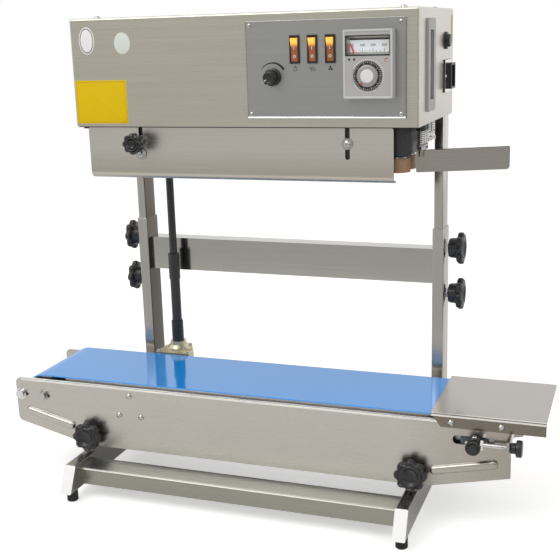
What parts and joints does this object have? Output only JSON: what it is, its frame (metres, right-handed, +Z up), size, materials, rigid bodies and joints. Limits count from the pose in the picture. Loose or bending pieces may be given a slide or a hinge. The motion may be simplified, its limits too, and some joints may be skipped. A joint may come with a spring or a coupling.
{
  "type": "continuous band sealer",
  "caption": "Upright continuous band sealer: stainless sealing head on telescoping posts over a blue belt conveyor with side table, star knobs and control panel.",
  "frame": {"origin": "on the floor, at the middle of the overall length and depth", "axes": "+X along the conveyor to the right as seen from the control panel, +Y to the back, +Z up"},
  "size_m": [0.6722, 0.292, 0.5836],
  "materials": {
    "stainless_sheet": "brushed",
    "polished_steel": "polished",
    "machined_steel": "satin",
    "blackened_steel": "satin black",
    "base_aluminium": "satin",
    "panel_grey": "fine brushed",
    "gold_casting": "cast, gold tint",
    "brass": "machined",
    "motor_paint": "satin",
    "black_plastic": "satin black",
    "controller_plastic": "satin white grey",
    "grey_plastic": "satin grey",
    "amber_plastic": "clear amber",
    "window_glass": "clear",
    "red_needle": "satin red",
    "blue_belt": "satin blue PVC",
    "seal_band": "brown coated glass cloth",
    "black_rubber": "matt black"
  },
  "bodies": {
    "frame": {"left_leg": "stainless_sheet", "right_leg": "stainless_sheet", "front_crossbar": "stainless_sheet", "rubber_feet": "black_rubber", "conveyor_brackets": "stainless_sheet", "left_outer_post": "polished_steel", "right_outer_post": "polished_steel", "post_crossbar": "polished_steel", "conveyor_front_plate": "stainless_sheet", "conveyor_rear_plate": "stainless_sheet", "slider_bed": "machined_steel", "conveyor_belt": "blue_belt", "tie_rods": "polished_steel", "conveyor_screws": "polished_steel", "side_table": "stainless_sheet", "bevel_gearbox": "gold_casting"},
    "head": {"left_inner_post": "polished_steel", "right_inner_post": "polished_steel", "head_case": "stainless_sheet", "head_base_plate": "blackened_steel", "control_panel": "panel_grey", "head_screws": "polished_steel", "switch_housings": "black_plastic", "controller_housing": "controller_plastic", "controller_window": "window_glass", "carry_handles": "grey_plastic", "fuse_holder": "black_plastic", "power_inlet": "black_plastic", "gear_motor": "motor_paint", "seal_belts": "seal_band", "heater_blocks": "brass", "cooling_blocks": "base_aluminium", "infeed_guides": "stainless_sheet"},
    "drive_roller": {"drive_roller": "machined_steel"},
    "idler_roller": {"idler_roller": "machined_steel"},
    "tension_axle": {"tension_axle": "polished_steel"},
    "tension_roller": {"tension_roller": "machined_steel"},
    "tension_lock_knob": {"tension_lock_knob": "black_plastic"},
    "tension_screw": {"tension_screw": "polished_steel"},
    "left_conveyor_knob": {"left_conveyor_knob": "black_plastic"},
    "right_conveyor_knob": {"right_conveyor_knob": "black_plastic"},
    "left_upper_clamp_knob": {"left_upper_clamp_knob": "black_plastic"},
    "left_lower_clamp_knob": {"left_lower_clamp_knob": "black_plastic"},
    "right_upper_clamp_knob": {"right_upper_clamp_knob": "black_plastic"},
    "right_lower_clamp_knob": {"right_lower_clamp_knob": "black_plastic"},
    "lower_drive_shaft": {"lower_drive_shaft": "blackened_steel"},
    "upper_drive_shaft": {"upper_drive_shaft": "blackened_steel"},
    "motor_pinion": {"motor_pinion": "machined_steel"},
    "front_drive_wheel": {"front_drive_wheel": "machined_steel"},
    "rear_drive_wheel": {"rear_drive_wheel": "machined_steel"},
    "front_idler_wheel": {"front_idler_wheel": "machined_steel"},
    "rear_idler_wheel": {"rear_idler_wheel": "machined_steel"},
    "seal_cover": {"seal_cover": "stainless_sheet"},
    "cover_knob": {"cover_knob": "black_plastic"},
    "speed_knob": {"speed_knob": "black_plastic"},
    "left_rocker": {"left_rocker": "amber_plastic"},
    "middle_rocker": {"middle_rocker": "amber_plastic"},
    "right_rocker": {"right_rocker": "amber_plastic"},
    "controller_dial": {"controller_dial": "black_plastic"},
    "controller_pointer": {"controller_pointer": "red_needle"}
  },
  "joints": [
    {"name": "head_height", "type": "slide", "parent": "frame", "child": "head", "axis": [0, 0, 1], "range_m": [-0.06, 0.04]},
    {"name": "drive_roller_spin", "type": "hinge", "parent": "frame", "child": "drive_roller", "pos_m": [-0.171, 0, 0.1052], "axis": [0, 1, 0], "continuous": true},
    {"name": "idler_roller_spin", "type": "hinge", "parent": "frame", "child": "idler_roller", "pos_m": [-0.2965, 0, 0.1115], "axis": [0, 1, 0], "continuous": true},
    {"name": "belt_tension", "type": "slide", "parent": "frame", "child": "tension_axle", "axis": [1, 0, 0], "range_m": [-0.008, 0]},
    {"name": "tension_roller_spin", "type": "hinge", "parent": "tension_axle", "child": "tension_roller", "pos_m": [0.26, 0, 0.1115], "axis": [0, 1, 0], "continuous": true},
    {"name": "tension_lock_turn", "type": "hinge", "parent": "tension_axle", "child": "tension_lock_knob", "pos_m": [0.26, -0.083, 0.1115], "axis": [0, -1, 0], "range_deg": [0, 360]},
    {"name": "tension_screw_turn", "type": "hinge", "parent": "frame", "child": "tension_screw", "pos_m": [0.299, -0.083, 0.1115], "axis": [1, 0, 0], "range_deg": [-2920, 40]},
    {"name": "left_conveyor_knob_turn", "type": "hinge", "parent": "frame", "child": "left_conveyor_knob", "pos_m": [-0.229, -0.075, 0.0665], "axis": [0, -1, 0], "range_deg": [0, 360]},
    {"name": "right_conveyor_knob_turn", "type": "hinge", "parent": "frame", "child": "right_conveyor_knob", "pos_m": [0.189, -0.075, 0.0665], "axis": [0, -1, 0], "range_deg": [0, 360]},
    {"name": "left_upper_clamp_turn", "type": "hinge", "parent": "frame", "child": "left_upper_clamp_knob", "pos_m": [-0.2275, 0.098, 0.2925], "axis": [-1, 0, 0], "range_deg": [0, 360]},
    {"name": "left_lower_clamp_turn", "type": "hinge", "parent": "frame", "child": "left_lower_clamp_knob", "pos_m": [-0.2275, 0.098, 0.2345], "axis": [-1, 0, 0], "range_deg": [0, 360]},
    {"name": "right_upper_clamp_turn", "type": "hinge", "parent": "frame", "child": "right_upper_clamp_knob", "pos_m": [0.1935, 0.098, 0.2925], "axis": [1, 0, 0], "range_deg": [0, 360]},
    {"name": "right_lower_clamp_turn", "type": "hinge", "parent": "frame", "child": "right_lower_clamp_knob", "pos_m": [0.1935, 0.098, 0.2345], "axis": [1, 0, 0], "range_deg": [0, 360]},
    {"name": "lower_shaft_spin", "type": "hinge", "parent": "frame", "child": "lower_drive_shaft", "pos_m": [-0.171, 0.073, 0.2], "axis": [0, 0, 1], "continuous": true},
    {"name": "upper_shaft_spin", "type": "hinge", "parent": "head", "child": "upper_drive_shaft", "pos_m": [-0.171, 0.073, 0.4], "axis": [0, 0, 1], "continuous": true},
    {"name": "motor_pinion_spin", "type": "hinge", "parent": "head", "child": "motor_pinion", "pos_m": [-0.10879, 0.073, 0.48], "axis": [0, 0, 1], "continuous": true},
    {"name": "front_drive_wheel_spin", "type": "hinge", "parent": "head", "child": "front_drive_wheel", "pos_m": [-0.185, -0.0332, 0.412], "axis": [0, 0, 1], "continuous": true},
    {"name": "front_idler_wheel_spin", "type": "hinge", "parent": "head", "child": "front_idler_wheel", "pos_m": [0.1625, -0.0332, 0.412], "axis": [0, 0, 1], "continuous": true},
    {"name": "rear_drive_wheel_spin", "type": "hinge", "parent": "head", "child": "rear_drive_wheel", "pos_m": [-0.185, -0.0048, 0.412], "axis": [0, 0, 1], "continuous": true},
    {"name": "rear_idler_wheel_spin", "type": "hinge", "parent": "head", "child": "rear_idler_wheel", "pos_m": [0.1625, -0.0048, 0.412], "axis": [0, 0, 1], "continuous": true},
    {"name": "seal_cover_drop", "type": "slide", "parent": "head", "child": "seal_cover", "axis": [0, 0, 1], "range_m": [-0.012, 0]},
    {"name": "cover_knob_turn", "type": "hinge", "parent": "head", "child": "cover_knob", "pos_m": [-0.1425, -0.055, 0.4375], "axis": [0, -1, 0], "range_deg": [0, 360]},
    {"name": "speed_knob_turn", "type": "hinge", "parent": "head", "child": "speed_knob", "pos_m": [0.028, -0.061, 0.511], "axis": [0, 1, 0], "range_deg": [0, 270]},
    {"name": "left_rocker_tip", "type": "hinge", "parent": "head", "child": "left_rocker", "pos_m": [0.0544, -0.0605, 0.5403], "axis": [1, 0, 0], "range_deg": [-18, 0]},
    {"name": "middle_rocker_tip", "type": "hinge", "parent": "head", "child": "middle_rocker", "pos_m": [0.0747, -0.0605, 0.5403], "axis": [1, 0, 0], "range_deg": [-18, 0]},
    {"name": "right_rocker_tip", "type": "hinge", "parent": "head", "child": "right_rocker", "pos_m": [0.095, -0.0605, 0.5403], "axis": [1, 0, 0], "range_deg": [-18, 0]},
    {"name": "controller_dial_turn", "type": "hinge", "parent": "head", "child": "controller_dial", "pos_m": [0.1395, -0.073, 0.5115], "axis": [0, 1, 0], "range_deg": [0, 300]},
    {"name": "controller_pointer_swing", "type": "hinge", "parent": "head", "child": "controller_pointer", "pos_m": [0.1395, -0.068, 0.497], "axis": [0, 1, 0], "range_deg": [0, 46]}
  ],
  "couplings": [
    {"joint": "lower_shaft_spin", "follows": "drive_roller_spin", "ratio": -1},
    {"joint": "upper_shaft_spin", "follows": "drive_roller_spin", "ratio": -1},
    {"joint": "rear_drive_wheel_spin", "follows": "drive_roller_spin", "ratio": 1.4706},
    {"joint": "front_drive_wheel_spin", "follows": "drive_roller_spin", "ratio": -1.4706},
    {"joint": "rear_idler_wheel_spin", "follows": "drive_roller_spin", "ratio": 1.4706},
    {"joint": "front_idler_wheel_spin", "follows": "drive_roller_spin", "ratio": -1.4706},
    {"joint": "motor_pinion_spin", "follows": "drive_roller_spin", "ratio": 3.121},
    {"joint": "idler_roller_spin", "follows": "drive_roller_spin", "ratio": 0.75391},
    {"joint": "tension_roller_spin", "follows": "drive_roller_spin", "ratio": 0.75391},
    {"joint": "tension_screw_turn", "follows": "belt_tension", "rad_per_m": 6283.2}
  ]
}
